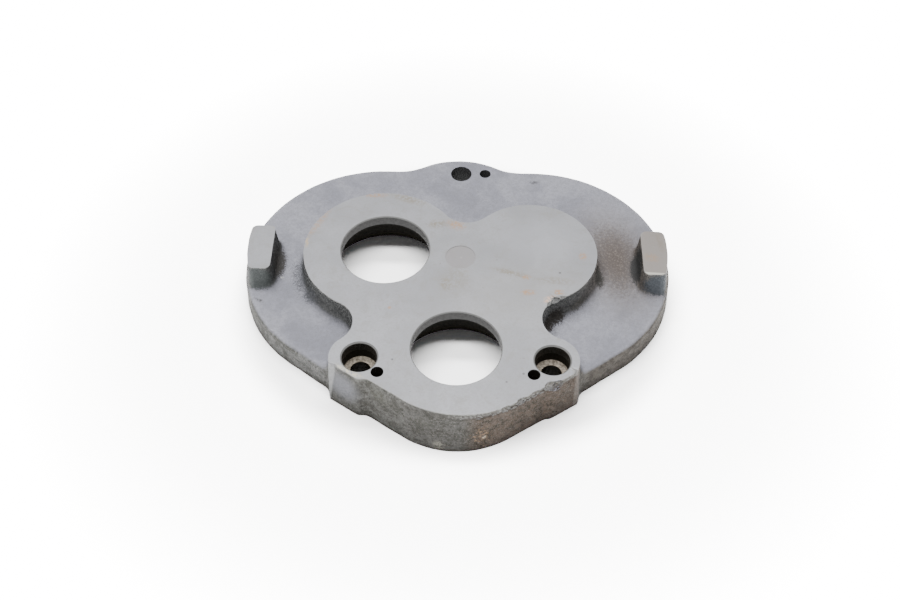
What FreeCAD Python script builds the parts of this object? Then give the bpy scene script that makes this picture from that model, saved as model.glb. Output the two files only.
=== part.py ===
import FreeCAD, Part
import math
import os
import Sketcher
from types import SimpleNamespace
from FreeCAD import Vector

# Gearbox end cover: one machined iron casting. It lies on its joint face at Z = 0, and the
# machined seats, a three-lobed boss with a nose and two ears, and two lugs, are level at the top.
# The origin is the middle of the casting's base rectangle. X runs along the two ear screws, and
# +Y points to the single back screw. All lengths are millimetres, all angles degrees.

SIZES = {
    # heights
    "cover_height": 18.0,
    "flange_thick": 9.0,
    # cast surfaces
    "draft": 3.0,
    "lug_draft": 5.5,
    "rim_round": 2.0,
    "boss_foot_fillet": 4.0,
    "lug_foot_fillet": 2.5,
    # flange outline at the joint face
    "flange_x": 26.1,
    "flange_y": 9.0,
    "flange_radius": 45.8,
    "bulge_y": 33.4,
    "bulge_radius": 27.2,
    "bulge_fillet": 18.0,
    "rim_angle": 36.5,
    "rim_inset": 36.0,
    # boss: lobes round the three shafts, with the hollows between them
    "lobe_x": 24.6,
    "lobe_y": 6.75,
    "top_left_lobe": 26.4,
    "top_right_lobe": 21.9,
    "top_notch": 9.0,
    "top_neck": 8.5,
    # boss: ears round the two front screws
    "ear_x": 29.95,
    "ear_y": 37.8,
    "top_ear": 9.05,
    # boss: nose and its flanks, which the mould left leaning a little to the right at the top
    "flank_angle": 34.0,
    "shoulder_radius": 3.8,
    "top_nose_x": 2.1,
    "top_nose_y": 27.4,
    "top_nose": 31.5,
    "top_left_facet": 6.8,
    "top_right_facet": 8.1,
    "top_left_facet_length": 10.0,
    "top_right_facet_length": 8.0,
    "foot_nose_x": 0.9,
    "foot_nose_y": 30.8,
    "foot_nose": 29.5,
    "foot_left_facet": 8.1,
    "foot_right_facet": 8.3,
    "foot_left_facet_length": 9.9,
    "foot_right_facet_length": 9.6,
    # lugs on the rim
    "lug_inner_x": 61.2,
    "lug_front_y": 2.3,
    "lug_back_y": 17.1,
    "lug_inset": 2.1,
    "lug_corner": 2.2,
    # machined pattern, which sits a little to the right of the casting's middle line
    "pattern_shift": 0.6,
    "bore_x": 24.4,
    "bore_y": 7.2,
    "front_bore_y": 33.55,
    "left_seat": 21.0,
    "front_seat": 20.0,
    "blind_seat": 17.5,
    "blind_seat_depth": 12.0,
    "seat_chamfer": 2.0,
    "left_bore": 14.7,
    "front_bore": 14.2,
    "lip_thick": 3.6,
    "lip_chamfer": 0.3,
    "ear_screw_x": 29.85,
    "screw_hole": 3.3,
    "head_recess": 5.5,
    "head_recess_depth": 7.0,
    "recess_chamfer": 0.5,
    "back_screw_y": 52.3,
    "back_screw_hole": 3.7,
    "dowel_hole": 2.0,
    "front_dowel_x": 24.0,
    "front_dowel_y": 43.5,
    "back_dowel_x": 8.6,
    "back_dowel_y": 52.5,
    # faint round spot-face between the two upper lobes
    "spot_x": 0.6,
    "spot_y": 4.2,
    "spot": 4.9,
    "spot_depth": 0.15,
}

TOUCH = 0.01


def make_sheet(doc):
    """The driving dimensions, one named cell each."""
    sheet = doc.addObject("Spreadsheet::Sheet", "Sizes")
    for row, (name, value) in enumerate(SIZES.items(), start=1):
        sheet.set(f"A{row}", name)
        sheet.set(f"B{row}", str(value))
        sheet.setAlias(f"B{row}", name)
    doc.recompute()
    return sheet


def origin_plane(body, role):
    """The body's own origin plane with this role, such as XY_Plane."""
    return next(plane for plane in body.Origin.OriginFeatures if plane.Role == role)


def make_sketch(body, name, height=None, x=None):
    """A sketch on the body's XY plane, with its origin moved by expressions."""
    sketch = body.newObject("Sketcher::SketchObject", name)
    sketch.AttachmentSupport = [(origin_plane(body, "XY_Plane"), "")]
    sketch.MapMode = "FlatFace"
    for axis, expression in (("x", x), ("z", height)):
        if expression:
            sketch.setExpression(f".AttachmentOffset.Base.{axis}", expression)
    return sketch


def fillet_centre(a, a_radius, b, b_radius, radius, side):
    """Centre of the circle that touches circles a and b from outside, left (+1) or right (-1) of a-b."""
    gap = b - a
    along = (gap.Length**2 + (a_radius + radius) ** 2 - (b_radius + radius) ** 2) / (2 * gap.Length)
    across = math.sqrt((a_radius + radius) ** 2 - along**2)
    unit = gap / gap.Length
    return a + unit * along + Vector(-unit.y, unit.x, 0) * across * side


def towards(a, radius, b):
    """The point of circle a that lies nearest to point b."""
    return a + (b - a) / (b - a).Length * radius


class Profile:
    """A closed outline of arcs and lines, run anticlockwise, with its sizes bound to the sheet."""

    def __init__(self, sketch):
        self.sketch = sketch
        self.edges = []
        self.corners = []

    def arc(self, centre, radius, start, finish, hollow=False):
        """An arc that bulges out of the outline, or into it where it is hollow."""
        first, last = (finish, start) if hollow else (start, finish)
        begin = math.atan2(first.y - centre.y, first.x - centre.x)
        end = math.atan2(last.y - centre.y, last.x - centre.x)
        if end <= begin:
            end += 2 * math.pi
        circle = Part.Circle(centre, Vector(0, 0, 1), radius)
        index = self.sketch.addGeometry(Part.ArcOfCircle(circle, begin, end), False)
        self.edges.append((index, 2, 1) if hollow else (index, 1, 2))
        return index

    def line(self, start, finish):
        index = self.sketch.addGeometry(Part.LineSegment(start, finish), False)
        self.edges.append((index, 1, 2))
        return index

    def corner(self):
        """The edge drawn last meets the next one at a corner instead of running into it."""
        self.corners.append(len(self.edges) - 1)

    def join(self):
        """Join every edge to the next one, and the last to the first."""
        for number, (index, _, finish) in enumerate(self.edges):
            following, start, _ = self.edges[(number + 1) % len(self.edges)]
            kind = "Coincident" if number in self.corners else "Tangent"
            self.sketch.addConstraint(Sketcher.Constraint(kind, index, finish, following, start))

    def bind(self, constraint, name, expression):
        index = self.sketch.addConstraint(constraint)
        self.sketch.renameConstraint(index, name)
        self.sketch.setExpression(f"Constraints.{name}", expression)

    def radius(self, index, name, expression):
        value = self.sketch.Geometry[index].Radius
        self.bind(Sketcher.Constraint("Radius", index, value), name, expression)

    def centre(self, index, name, x, y):
        """Place an arc's centre, each distance being measured on the positive side."""
        place = self.sketch.Geometry[index].Center
        for kind, value, expression in (("DistanceX", place.x, x), ("DistanceY", place.y, y)):
            ends = (-1, 1, index, 3) if value > 0 else (index, 3, -1, 1)
            self.bind(Sketcher.Constraint(kind, *ends, abs(value)), name + kind[-1], expression)

    def angle(self, index, name, degrees, expression):
        self.bind(Sketcher.Constraint("Angle", index, math.radians(degrees)), name, expression)

    def place_end(self, index, end, name, x=None, y=None):
        """Place the end of an edge; a missing expression leaves that direction free."""
        geometry = self.sketch.Geometry[index]
        place = geometry.StartPoint if end == 1 else geometry.EndPoint
        for kind, value, expression in (("DistanceX", place.x, x), ("DistanceY", place.y, y)):
            if expression:
                ends = (-1, 1, index, end) if value > 0 else (index, end, -1, 1)
                self.bind(Sketcher.Constraint(kind, *ends, abs(value)), name + kind[-1], expression)


def flange_profile(sketch, size):
    """Two large lobes, the bulge round the back screw, and straight rims running in under the ears."""
    profile = Profile(sketch)
    rim = math.radians(size.rim_angle)
    right = Vector(size.flange_x, size.flange_y, 0)
    left = Vector(-size.flange_x, size.flange_y, 0)
    bulge = Vector(0, size.bulge_y, 0)
    reach = size.flange_radius
    right_touch = right + Vector(math.sin(rim), -math.cos(rim), 0) * reach
    left_touch = Vector(-right_touch.x, right_touch.y, 0)
    inner_y = right_touch.y - (right_touch.x - size.rim_inset) * math.tan(rim)
    right_inner = Vector(size.rim_inset, inner_y, 0)
    left_inner = Vector(-size.rim_inset, inner_y, 0)
    fillet = size.bulge_fillet
    right_hollow = fillet_centre(right, reach, bulge, size.bulge_radius, fillet, -1)
    left_hollow = Vector(-right_hollow.x, right_hollow.y, 0)
    right_join = towards(right, reach, right_hollow)
    right_crest = towards(bulge, size.bulge_radius, right_hollow)
    left_crest = Vector(-right_crest.x, right_crest.y, 0)
    left_join = Vector(-right_join.x, right_join.y, 0)

    right_rim = profile.line(right_inner, right_touch)
    right_lobe = profile.arc(right, reach, right_touch, right_join)
    right_fillet = profile.arc(right_hollow, fillet, right_join, right_crest, hollow=True)
    crest = profile.arc(bulge, size.bulge_radius, right_crest, left_crest)
    left_fillet = profile.arc(left_hollow, fillet, left_crest, left_join, hollow=True)
    left_lobe = profile.arc(left, reach, left_join, left_touch)
    left_rim = profile.line(left_touch, left_inner)
    profile.corner()
    profile.line(left_inner, right_inner)
    profile.corner()
    profile.join()

    profile.centre(right_lobe, "right_centre", "Sizes.flange_x", "Sizes.flange_y")
    profile.centre(left_lobe, "left_centre", "Sizes.flange_x", "Sizes.flange_y")
    profile.radius(right_lobe, "right_radius", "Sizes.flange_radius")
    profile.radius(left_lobe, "left_radius", "Sizes.flange_radius")
    sketch.addConstraint(Sketcher.Constraint("PointOnObject", crest, 3, -2))
    profile.bind(Sketcher.Constraint("DistanceY", -1, 1, crest, 3, bulge.y), "bulge_y", "Sizes.bulge_y")
    profile.radius(crest, "bulge_radius", "Sizes.bulge_radius")
    profile.radius(right_fillet, "right_fillet", "Sizes.bulge_fillet")
    profile.radius(left_fillet, "left_fillet", "Sizes.bulge_fillet")
    profile.angle(right_rim, "right_angle", size.rim_angle, "Sizes.rim_angle * 1 deg")
    profile.angle(left_rim, "left_angle", -size.rim_angle, "-Sizes.rim_angle * 1 deg")
    profile.place_end(right_rim, 1, "right_inset", x="Sizes.rim_inset")
    profile.place_end(left_rim, 2, "left_inset", x="Sizes.rim_inset")


def shoulder_points(size, level, side):
    """Points of one flank: where it leaves the nose, its two soft bends, and the ear's corner."""
    slope = math.radians(size.flank_angle)
    along = Vector(side * math.cos(slope), math.sin(slope), 0)
    outward = Vector(side * math.sin(slope), -math.cos(slope), 0)
    hand = "right" if side > 0 else "left"
    nose = Vector(level_size(size, level, "nose_x"), -level_size(size, level, "nose_y"), 0)
    ear = Vector(side * size.ear_x, -size.ear_y, 0)
    bend = size.shoulder_radius
    facet = level_size(size, level, f"{hand}_facet")
    flank_off = nose.dot(outward) + level_size(size, level, "nose")
    facet_off = ear.dot(outward) + facet
    swing = math.acos(1 - (facet_off - flank_off) / (2 * bend))
    half = bend * math.sin(swing)
    corner_at = ear.dot(along) + math.sqrt(level_size(size, level, "ear") ** 2 - facet**2)
    outer_at = corner_at - level_size(size, level, f"{hand}_facet_length")
    middle_at = outer_at - half
    inner_at = middle_at - half

    def spot(distance, offset):
        return along * distance + outward * offset

    return {
        "touch": nose + outward * level_size(size, level, "nose"),
        "inner": spot(inner_at, flank_off),
        "middle": spot(middle_at, (flank_off + facet_off) / 2),
        "outer": spot(outer_at, facet_off),
        "corner": spot(corner_at, facet_off),
        "hollow_centre": spot(inner_at, flank_off + bend),
        "round_centre": spot(outer_at, facet_off - bend),
    }


def level_size(size, level, name):
    """A size that differs between the top of the boss and its foot; drafted ones grow downwards."""
    if hasattr(size, f"{level}_{name}"):
        return getattr(size, f"{level}_{name}")
    spread = size.cover_height * math.tan(math.radians(size.draft))
    hollow = name in ("notch", "neck")
    return getattr(size, f"top_{name}") + (-spread if hollow else spread)


def level_formula(size, level, name):
    """The same size as an expression on the sheet."""
    if hasattr(size, f"{level}_{name}"):
        return f"Sizes.{level}_{name}"
    sign = "-" if name in ("notch", "neck") else "+"
    return f"Sizes.top_{name} {sign} Sizes.cover_height * tan(Sizes.draft * 1 deg)"


def boss_profile(sketch, size, level):
    """The boss at its top or at its foot: nose, flanks, ears, necks, two lobes and the notch between."""
    profile = Profile(sketch)
    bend = size.shoulder_radius
    nose_radius = level_size(size, level, "nose")
    ear_radius = level_size(size, level, "ear")
    neck_radius = level_size(size, level, "neck")
    notch_radius = level_size(size, level, "notch")
    right_radius = level_size(size, level, "right_lobe")
    left_radius = level_size(size, level, "left_lobe")
    nose = Vector(level_size(size, level, "nose_x"), -level_size(size, level, "nose_y"), 0)
    right_ear = Vector(size.ear_x, -size.ear_y, 0)
    left_ear = Vector(-size.ear_x, -size.ear_y, 0)
    right_lobe = Vector(size.lobe_x, size.lobe_y, 0)
    left_lobe = Vector(-size.lobe_x, size.lobe_y, 0)
    right = shoulder_points(size, level, 1)
    left = shoulder_points(size, level, -1)
    right_neck = fillet_centre(right_ear, ear_radius, right_lobe, right_radius, neck_radius, -1)
    left_neck = fillet_centre(left_lobe, left_radius, left_ear, ear_radius, neck_radius, -1)
    notch = fillet_centre(right_lobe, right_radius, left_lobe, left_radius, notch_radius, -1)
    right_ear_join = towards(right_ear, ear_radius, right_neck)
    right_lobe_join = towards(right_lobe, right_radius, right_neck)
    right_notch_join = towards(right_lobe, right_radius, notch)
    left_notch_join = towards(left_lobe, left_radius, notch)
    left_lobe_join = towards(left_lobe, left_radius, left_neck)
    left_ear_join = towards(left_ear, ear_radius, left_neck)

    nose_arc = profile.arc(nose, nose_radius, left["touch"], right["touch"])
    right_flank = profile.line(right["touch"], right["inner"])
    right_hollow = profile.arc(right["hollow_centre"], bend, right["inner"], right["middle"], hollow=True)
    right_round = profile.arc(right["round_centre"], bend, right["middle"], right["outer"])
    right_facet = profile.line(right["outer"], right["corner"])
    profile.corner()
    right_ear_arc = profile.arc(right_ear, ear_radius, right["corner"], right_ear_join)
    right_neck_arc = profile.arc(right_neck, neck_radius, right_ear_join, right_lobe_join, hollow=True)
    right_lobe_arc = profile.arc(right_lobe, right_radius, right_lobe_join, right_notch_join)
    notch_arc = profile.arc(notch, notch_radius, right_notch_join, left_notch_join, hollow=True)
    left_lobe_arc = profile.arc(left_lobe, left_radius, left_notch_join, left_lobe_join)
    left_neck_arc = profile.arc(left_neck, neck_radius, left_lobe_join, left_ear_join, hollow=True)
    left_ear_arc = profile.arc(left_ear, ear_radius, left_ear_join, left["corner"])
    profile.corner()
    left_facet = profile.line(left["corner"], left["outer"])
    left_round = profile.arc(left["round_centre"], bend, left["outer"], left["middle"])
    left_hollow = profile.arc(left["hollow_centre"], bend, left["middle"], left["inner"], hollow=True)
    left_flank = profile.line(left["inner"], left["touch"])
    profile.join()

    nose_x = level_formula(size, level, "nose_x")
    nose_y = level_formula(size, level, "nose_y")
    profile.centre(nose_arc, "nose", nose_x, nose_y)
    profile.radius(nose_arc, "nose_radius", level_formula(size, level, "nose"))
    for hand, ear_arc, lobe_arc, neck_arc in (
        ("right", right_ear_arc, right_lobe_arc, right_neck_arc),
        ("left", left_ear_arc, left_lobe_arc, left_neck_arc),
    ):
        profile.centre(ear_arc, f"{hand}_ear", "Sizes.ear_x", "Sizes.ear_y")
        profile.radius(ear_arc, f"{hand}_ear_radius", level_formula(size, level, "ear"))
        profile.centre(lobe_arc, f"{hand}_lobe", "Sizes.lobe_x", "Sizes.lobe_y")
        profile.radius(lobe_arc, f"{hand}_lobe_radius", level_formula(size, level, f"{hand}_lobe"))
        profile.radius(neck_arc, f"{hand}_neck_radius", level_formula(size, level, "neck"))
    profile.radius(notch_arc, "notch_radius", level_formula(size, level, "notch"))
    profile.angle(right_flank, "right_angle", size.flank_angle, "Sizes.flank_angle * 1 deg")
    profile.angle(left_flank, "left_angle", -size.flank_angle, "-Sizes.flank_angle * 1 deg")
    for hand, flank, facet, ear_arc, hollow, rounding in (
        ("right", right_flank, right_facet, right_ear_arc, right_hollow, right_round),
        ("left", left_flank, left_facet, left_ear_arc, left_hollow, left_round),
    ):
        sketch.addConstraint(Sketcher.Constraint("Parallel", flank, facet))
        reach = level_size(size, level, f"{hand}_facet")
        length = level_size(size, level, f"{hand}_facet_length")
        distance = Sketcher.Constraint("Distance", ear_arc, 3, facet, reach)
        profile.bind(distance, f"{hand}_facet_reach", level_formula(size, level, f"{hand}_facet"))
        run = Sketcher.Constraint("Distance", facet, length)
        profile.bind(run, f"{hand}_facet_length", level_formula(size, level, f"{hand}_facet_length"))
        profile.radius(hollow, f"{hand}_bend", "Sizes.shoulder_radius")
        sketch.addConstraint(Sketcher.Constraint("Equal", hollow, rounding))


def lug_profile(sketch, size):
    """The right lug at its machined top: its outer side follows the rim."""
    profile = Profile(sketch)
    centre = Vector(size.flange_x, size.flange_y, 0)
    reach = size.flange_radius - size.lug_inset
    corner = size.lug_corner
    inner = size.lug_inner_x + corner
    front = -size.lug_front_y + corner
    back = size.lug_back_y - corner
    front_outer = Vector(centre.x + math.sqrt((reach - corner) ** 2 - (front - centre.y) ** 2), front, 0)
    back_outer = Vector(centre.x + math.sqrt((reach - corner) ** 2 - (back - centre.y) ** 2), back, 0)
    front_inner = Vector(inner, front, 0)
    back_inner = Vector(inner, back, 0)
    step_x = Vector(corner, 0, 0)
    step_y = Vector(0, corner, 0)
    front_touch = towards(centre, reach, front_outer)
    back_touch = towards(centre, reach, back_outer)

    front_side = profile.line(front_inner - step_y, front_outer - step_y)
    corners = [profile.arc(front_outer, corner, front_outer - step_y, front_touch)]
    outer_side = profile.arc(centre, reach, front_touch, back_touch)
    corners.append(profile.arc(back_outer, corner, back_touch, back_outer + step_y))
    back_side = profile.line(back_outer + step_y, back_inner + step_y)
    corners.append(profile.arc(back_inner, corner, back_inner + step_y, back_inner - step_x))
    inner_side = profile.line(back_inner - step_x, front_inner - step_x)
    corners.append(profile.arc(front_inner, corner, front_inner - step_x, front_inner - step_y))
    profile.join()

    sketch.addConstraint(Sketcher.Constraint("Horizontal", front_side))
    sketch.addConstraint(Sketcher.Constraint("Horizontal", back_side))
    sketch.addConstraint(Sketcher.Constraint("Vertical", inner_side))
    profile.centre(outer_side, "rim_centre", "Sizes.flange_x", "Sizes.flange_y")
    profile.radius(outer_side, "rim_radius", "Sizes.flange_radius - Sizes.lug_inset")
    profile.radius(corners[0], "corner_radius", "Sizes.lug_corner")
    for index in corners[1:]:
        sketch.addConstraint(Sketcher.Constraint("Equal", corners[0], index))
    profile.place_end(inner_side, 1, "inner", x="Sizes.lug_inner_x")
    profile.place_end(front_side, 1, "front", y="Sizes.lug_front_y")
    profile.place_end(back_side, 1, "back", y="Sizes.lug_back_y")


def edges_at(shape, height, test):
    """Names of the level edges at this height whose every sampled point passes the test."""
    names = []
    for number, edge in enumerate(shape.Edges, start=1):
        points = edge.discretize(7)
        if all(abs(point.z - height) < TOUCH and test(point) for point in points):
            names.append(f"Edge{number}")
    return names


def wall_feet(shape, ledge, test):
    """Of those edges, the ones where a wall rises from the ledge."""
    names = []
    for name in edges_at(shape, ledge, test):
        faces = shape.ancestorsOfType(shape.getElement(name), Part.Face)
        if any(face.BoundBox.ZMax > ledge + TOUCH for face in faces):
            names.append(name)
    return names


def pad(body, name, sketch, length, taper, downwards=False):
    """A pad of the sketch whose walls lean by the taper; it grows along the pad where positive."""
    feature = body.newObject("PartDesign::Pad", name)
    feature.Profile = sketch
    feature.setExpression("Length", length)
    feature.setExpression("TaperAngle", taper)
    feature.Reversed = downwards
    body.Document.recompute()
    return feature


def fillet(body, name, radius, edges):
    """A fillet of the named edges of the body as it stands."""
    base = body.Tip
    feature = body.newObject("PartDesign::Fillet", name)
    feature.Base = (base, edges)
    feature.setExpression("Radius", radius)
    body.Document.recompute()


def cut(body, name, feature_type, sketch, **settings):
    """A feature that takes material away, and that is refused if it takes none."""
    before = body.Shape.Volume
    feature = body.newObject(feature_type, name)
    feature.Profile = sketch
    for setting, value in settings.items():
        setattr(feature, setting, value)
    body.Document.recompute()
    if body.Shape.Volume > before - 1:
        raise RuntimeError(f"{name} cuts nothing")


def turned_hole(body, name, x, y, steps):
    """A stepped round hole at x, y. Each step is a radius and a height, from the joint face upwards."""
    sizes = body.Document.Sizes
    sketch = body.newObject("Sketcher::SketchObject", f"{name}Section")
    sketch.AttachmentSupport = [(origin_plane(body, "XZ_Plane"), "")]
    sketch.MapMode = "FlatFace"
    sketch.setExpression(".AttachmentOffset.Base.x", x)
    sketch.setExpression(".AttachmentOffset.Base.z", f"-({y})")
    points = []
    for radius, height in steps:
        across = sizes.evalExpression(radius) if radius else 0
        up = sizes.evalExpression(height) if height else 0
        points.append(Vector(across, up, 0))
    profile = Profile(sketch)
    for start, finish in zip(points, points[1:] + points[:1]):
        profile.line(start, finish)
        profile.corner()
    profile.join()
    for number, (radius, height) in enumerate(steps):
        profile.place_end(number, 1, f"step{number}", x=radius, y=height)
        if not radius:
            sketch.addConstraint(Sketcher.Constraint("PointOnObject", number, 1, -2))
        if not height:
            sketch.addConstraint(Sketcher.Constraint("PointOnObject", number, 1, -1))
    cut(body, name, "PartDesign::Groove", sketch, ReferenceAxis=(sketch, ["V_Axis"]), Angle=360)


def dowel_holes(body, size):
    """Three plain dowel holes right through: one beside each ear, one by the back screw."""
    sketch = make_sketch(body, "DowelCircles", height="Sizes.cover_height", x="Sizes.pattern_shift")
    profile = Profile(sketch)
    for name, x, y, across, along in (
        ("left", -size.front_dowel_x, -size.front_dowel_y, "Sizes.front_dowel_x", "Sizes.front_dowel_y"),
        ("right", size.front_dowel_x, -size.front_dowel_y, "Sizes.front_dowel_x", "Sizes.front_dowel_y"),
        ("back", size.back_dowel_x, size.back_dowel_y, "Sizes.back_dowel_x", "Sizes.back_dowel_y"),
    ):
        circle = sketch.addGeometry(Part.Circle(Vector(x, y, 0), Vector(0, 0, 1), size.dowel_hole), False)
        profile.centre(circle, name, across, along)
        profile.radius(circle, f"{name}_radius", "Sizes.dowel_hole")
    cut(body, "DowelHoles", "PartDesign::Pocket", sketch, Type="ThroughAll", Reversed=False)


def cast_shape(body, size):
    """The casting before machining: flange, boss and two lugs, with their draft and fillets."""
    doc = body.Document
    ledge = size.flange_thick

    flange_sketch = make_sketch(body, "FlangeOutline")
    flange_profile(flange_sketch, size)
    pad(body, "Flange", flange_sketch, "Sizes.flange_thick", "-Sizes.draft")
    rim = edges_at(body.Shape, ledge, lambda p: p.y > 0 or abs(p.x) > size.rim_inset - 1)
    fillet(body, "RimRound", "Sizes.rim_round", rim)

    foot_sketch = make_sketch(body, "BossFoot")
    boss_profile(foot_sketch, size, "foot")
    top_sketch = make_sketch(body, "BossTop", height="Sizes.cover_height")
    boss_profile(top_sketch, size, "top")
    boss = body.newObject("PartDesign::AdditiveLoft", "Boss")
    boss.Profile = foot_sketch
    boss.Sections = [top_sketch]
    boss.Ruled = True
    doc.recompute()
    fillet(body, "BossFootFillet", "Sizes.boss_foot_fillet", wall_feet(body.Shape, ledge, lambda p: True))

    lug_sketch = make_sketch(body, "LugTop", height="Sizes.cover_height")
    lug_profile(lug_sketch, size)
    right_lug = pad(body, "RightLug", lug_sketch, "Sizes.cover_height", "Sizes.lug_draft", True)
    left_lug = body.newObject("PartDesign::Mirrored", "LeftLug")
    left_lug.Originals = [right_lug]
    left_lug.MirrorPlane = (origin_plane(body, "YZ_Plane"), [""])
    body.Tip = left_lug
    doc.recompute()
    clear_of_boss = size.lug_inner_x - size.lug_corner
    feet = wall_feet(body.Shape, ledge, lambda p: abs(p.x) > clear_of_boss)
    fillet(body, "LugFootFillet", "Sizes.lug_foot_fillet", feet)


def machined_cuts(body, size):
    """Bearing seats and bores, counterbored screw holes, dowel holes and one faint spot-face."""
    middle = "Sizes.pattern_shift"
    roof = "Sizes.cover_height - Sizes.lip_thick"
    lip_edge = "Sizes.cover_height - Sizes.lip_chamfer"
    for name, x, y, seat, bore in (
        ("LeftBearing", f"{middle} - Sizes.bore_x", "Sizes.bore_y", "Sizes.left_seat", "Sizes.left_bore"),
        ("FrontBearing", middle, "-Sizes.front_bore_y", "Sizes.front_seat", "Sizes.front_bore"),
    ):
        steps = (
            (None, None),
            (f"{seat} + Sizes.seat_chamfer", None),
            (seat, "Sizes.seat_chamfer"),
            (seat, roof),
            (bore, roof),
            (bore, lip_edge),
            (f"{bore} + Sizes.lip_chamfer", "Sizes.cover_height"),
            (None, "Sizes.cover_height"),
        )
        turned_hole(body, name, x, y, steps)

    blind = (
        (None, None),
        ("Sizes.blind_seat", None),
        ("Sizes.blind_seat", "Sizes.blind_seat_depth"),
        (None, "Sizes.blind_seat_depth"),
    )
    turned_hole(body, "RightBearing", f"{middle} + Sizes.bore_x", "Sizes.bore_y", blind)

    recess_floor = "Sizes.cover_height - Sizes.head_recess_depth"
    recessed = (
        (None, None),
        ("Sizes.screw_hole", None),
        ("Sizes.screw_hole", recess_floor),
        ("Sizes.head_recess", recess_floor),
        ("Sizes.head_recess", "Sizes.cover_height - Sizes.recess_chamfer"),
        ("Sizes.head_recess + Sizes.recess_chamfer", "Sizes.cover_height"),
        (None, "Sizes.cover_height"),
    )
    turned_hole(body, "LeftEarScrew", f"{middle} - Sizes.ear_screw_x", "-Sizes.ear_y", recessed)
    turned_hole(body, "RightEarScrew", f"{middle} + Sizes.ear_screw_x", "-Sizes.ear_y", recessed)

    plain = (
        (None, None),
        ("Sizes.back_screw_hole", None),
        ("Sizes.back_screw_hole", "Sizes.flange_thick"),
        (None, "Sizes.flange_thick"),
    )
    turned_hole(body, "BackScrew", middle, "Sizes.back_screw_y", plain)

    spot_floor = "Sizes.cover_height - Sizes.spot_depth"
    spot = (
        (None, spot_floor),
        ("Sizes.spot", spot_floor),
        ("Sizes.spot", "Sizes.cover_height"),
        (None, "Sizes.cover_height"),
    )
    turned_hole(body, "SpotFace", f"{middle} + Sizes.spot_x", "Sizes.spot_y", spot)

    dowel_holes(body, size)


def make_cover(doc):
    """The whole casting as one body."""
    size = SimpleNamespace(**SIZES)
    make_sheet(doc)
    body = doc.addObject("PartDesign::Body", "EndCover")
    body.Label = "end_cover"
    cast_shape(body, size)
    machined_cuts(body, size)
    return body


def write_step(doc, body):
    """Write the casting, once every object of the document has built soundly."""
    for item in doc.Objects:
        if "Invalid" in item.State or "Error" in item.State:
            raise RuntimeError(f"{item.Name} failed")
    if body.Shape.isNull() or not body.Shape.isValid():
        raise RuntimeError(f"{body.Label} is not a valid shape")
    os.makedirs("parts", exist_ok=True)
    body.Shape.exportStep(f"parts/{body.Label}.step")


document = FreeCAD.newDocument("EndCover")
write_step(document, make_cover(document))
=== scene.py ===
import math

import bpy
import numpy as np
from mathutils import Euler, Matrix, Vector, noise


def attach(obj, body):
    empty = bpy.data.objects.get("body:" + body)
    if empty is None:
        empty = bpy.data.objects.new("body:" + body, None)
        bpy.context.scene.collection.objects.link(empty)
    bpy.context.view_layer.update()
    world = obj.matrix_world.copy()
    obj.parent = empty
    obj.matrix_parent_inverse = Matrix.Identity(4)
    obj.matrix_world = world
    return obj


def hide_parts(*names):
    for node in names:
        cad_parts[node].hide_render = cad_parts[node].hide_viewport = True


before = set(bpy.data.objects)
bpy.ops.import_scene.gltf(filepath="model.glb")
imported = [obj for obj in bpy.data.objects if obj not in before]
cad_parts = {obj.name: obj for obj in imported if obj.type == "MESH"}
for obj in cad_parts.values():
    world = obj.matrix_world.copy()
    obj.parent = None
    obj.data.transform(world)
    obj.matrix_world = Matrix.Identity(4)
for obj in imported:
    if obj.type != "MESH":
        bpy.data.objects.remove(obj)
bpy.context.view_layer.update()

MM = 0.001


# ---------------------------------------------------------------- the casting's skin
# Lengths in this section are in millimetres.
TOP = 18.0
LEDGE = 9.0
# x of the middle of the machined holes' pattern
SHIFT = 0.6
SPOT_FACE = (SHIFT + 0.6, 4.2)
SPOT_FACE_RADIUS = 5
# machined holes: x, y and the largest radius cut there
HOLES = (
    (SHIFT - 24.4, 7.2, 23.0),
    (SHIFT, -33.55, 22.0),
    (SHIFT + 24.4, 7.2, 17.5),
    (SHIFT - 29.85, -37.8, 6.0),
    (SHIFT + 29.85, -37.8, 6.0),
    (SHIFT, 52.3, 3.7),
    (SHIFT - 24.0, -43.5, 2.0),
    (SHIFT + 24.0, -43.5, 2.0),
    (SHIFT + 8.6, 52.5, 2.0),
    (*SPOT_FACE, 4.9),
)
# the nose's top edge: its round, and the angle where the straight right flank starts
NOSE = (2.1, -27.4, 31.5)
FLANK = math.radians(34)
# chips broken out of that edge: distance along it from the foremost point, how far the middle of
# the scooping ball lies below the top, the ball's radius, and how deep it bites
NOSE_CHIPS = (
    (6.0, 1.2, 3.6, 0.25),
    (11.0, 1.3, 3.2, 0.35),
    (14.4, 0.9, 3.6, 0.55),
    (17.4, 1.6, 3.0, 0.45),
    (20.0, 0.8, 3.0, 0.8),
    (22.8, 1.5, 2.6, 0.4),
    (25.0, 0.9, 3.0, 0.6),
    (27.6, 1.6, 2.8, 0.5),
    (30.2, 0.6, 3.4, 0.9),
    (32.6, 1.7, 2.8, 0.6),
)
# chips at the right neck and the ears' corners: middle of the ball and its radius
OTHER_CHIPS = (
    (30.7, -15.8, 18.5, 1.6),
    (32.5, -14.2, 18.7, 2.1),
    (34.5, -13.0, 18.9, 1.6),
    (-37.8, -42.5, 19.2, 2.4),
    (-34.6, -45.0, 19.9, 2.6),
    (38.6, -43.2, 19.0, 2.2),
)
# how far a chip's surface strays from its ball, as a part of the radius, and how fast
CHIP_WOBBLE = 0.07
WOBBLE_SCALE = 1.7

# longest edges of the finished mesh
CAST_EDGE = 1.3
CUT_EDGE = 3.0
CHIP_EDGE = 0.3
CHIP_MARGIN = 0.4
MOST_ROUNDS = 40

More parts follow.
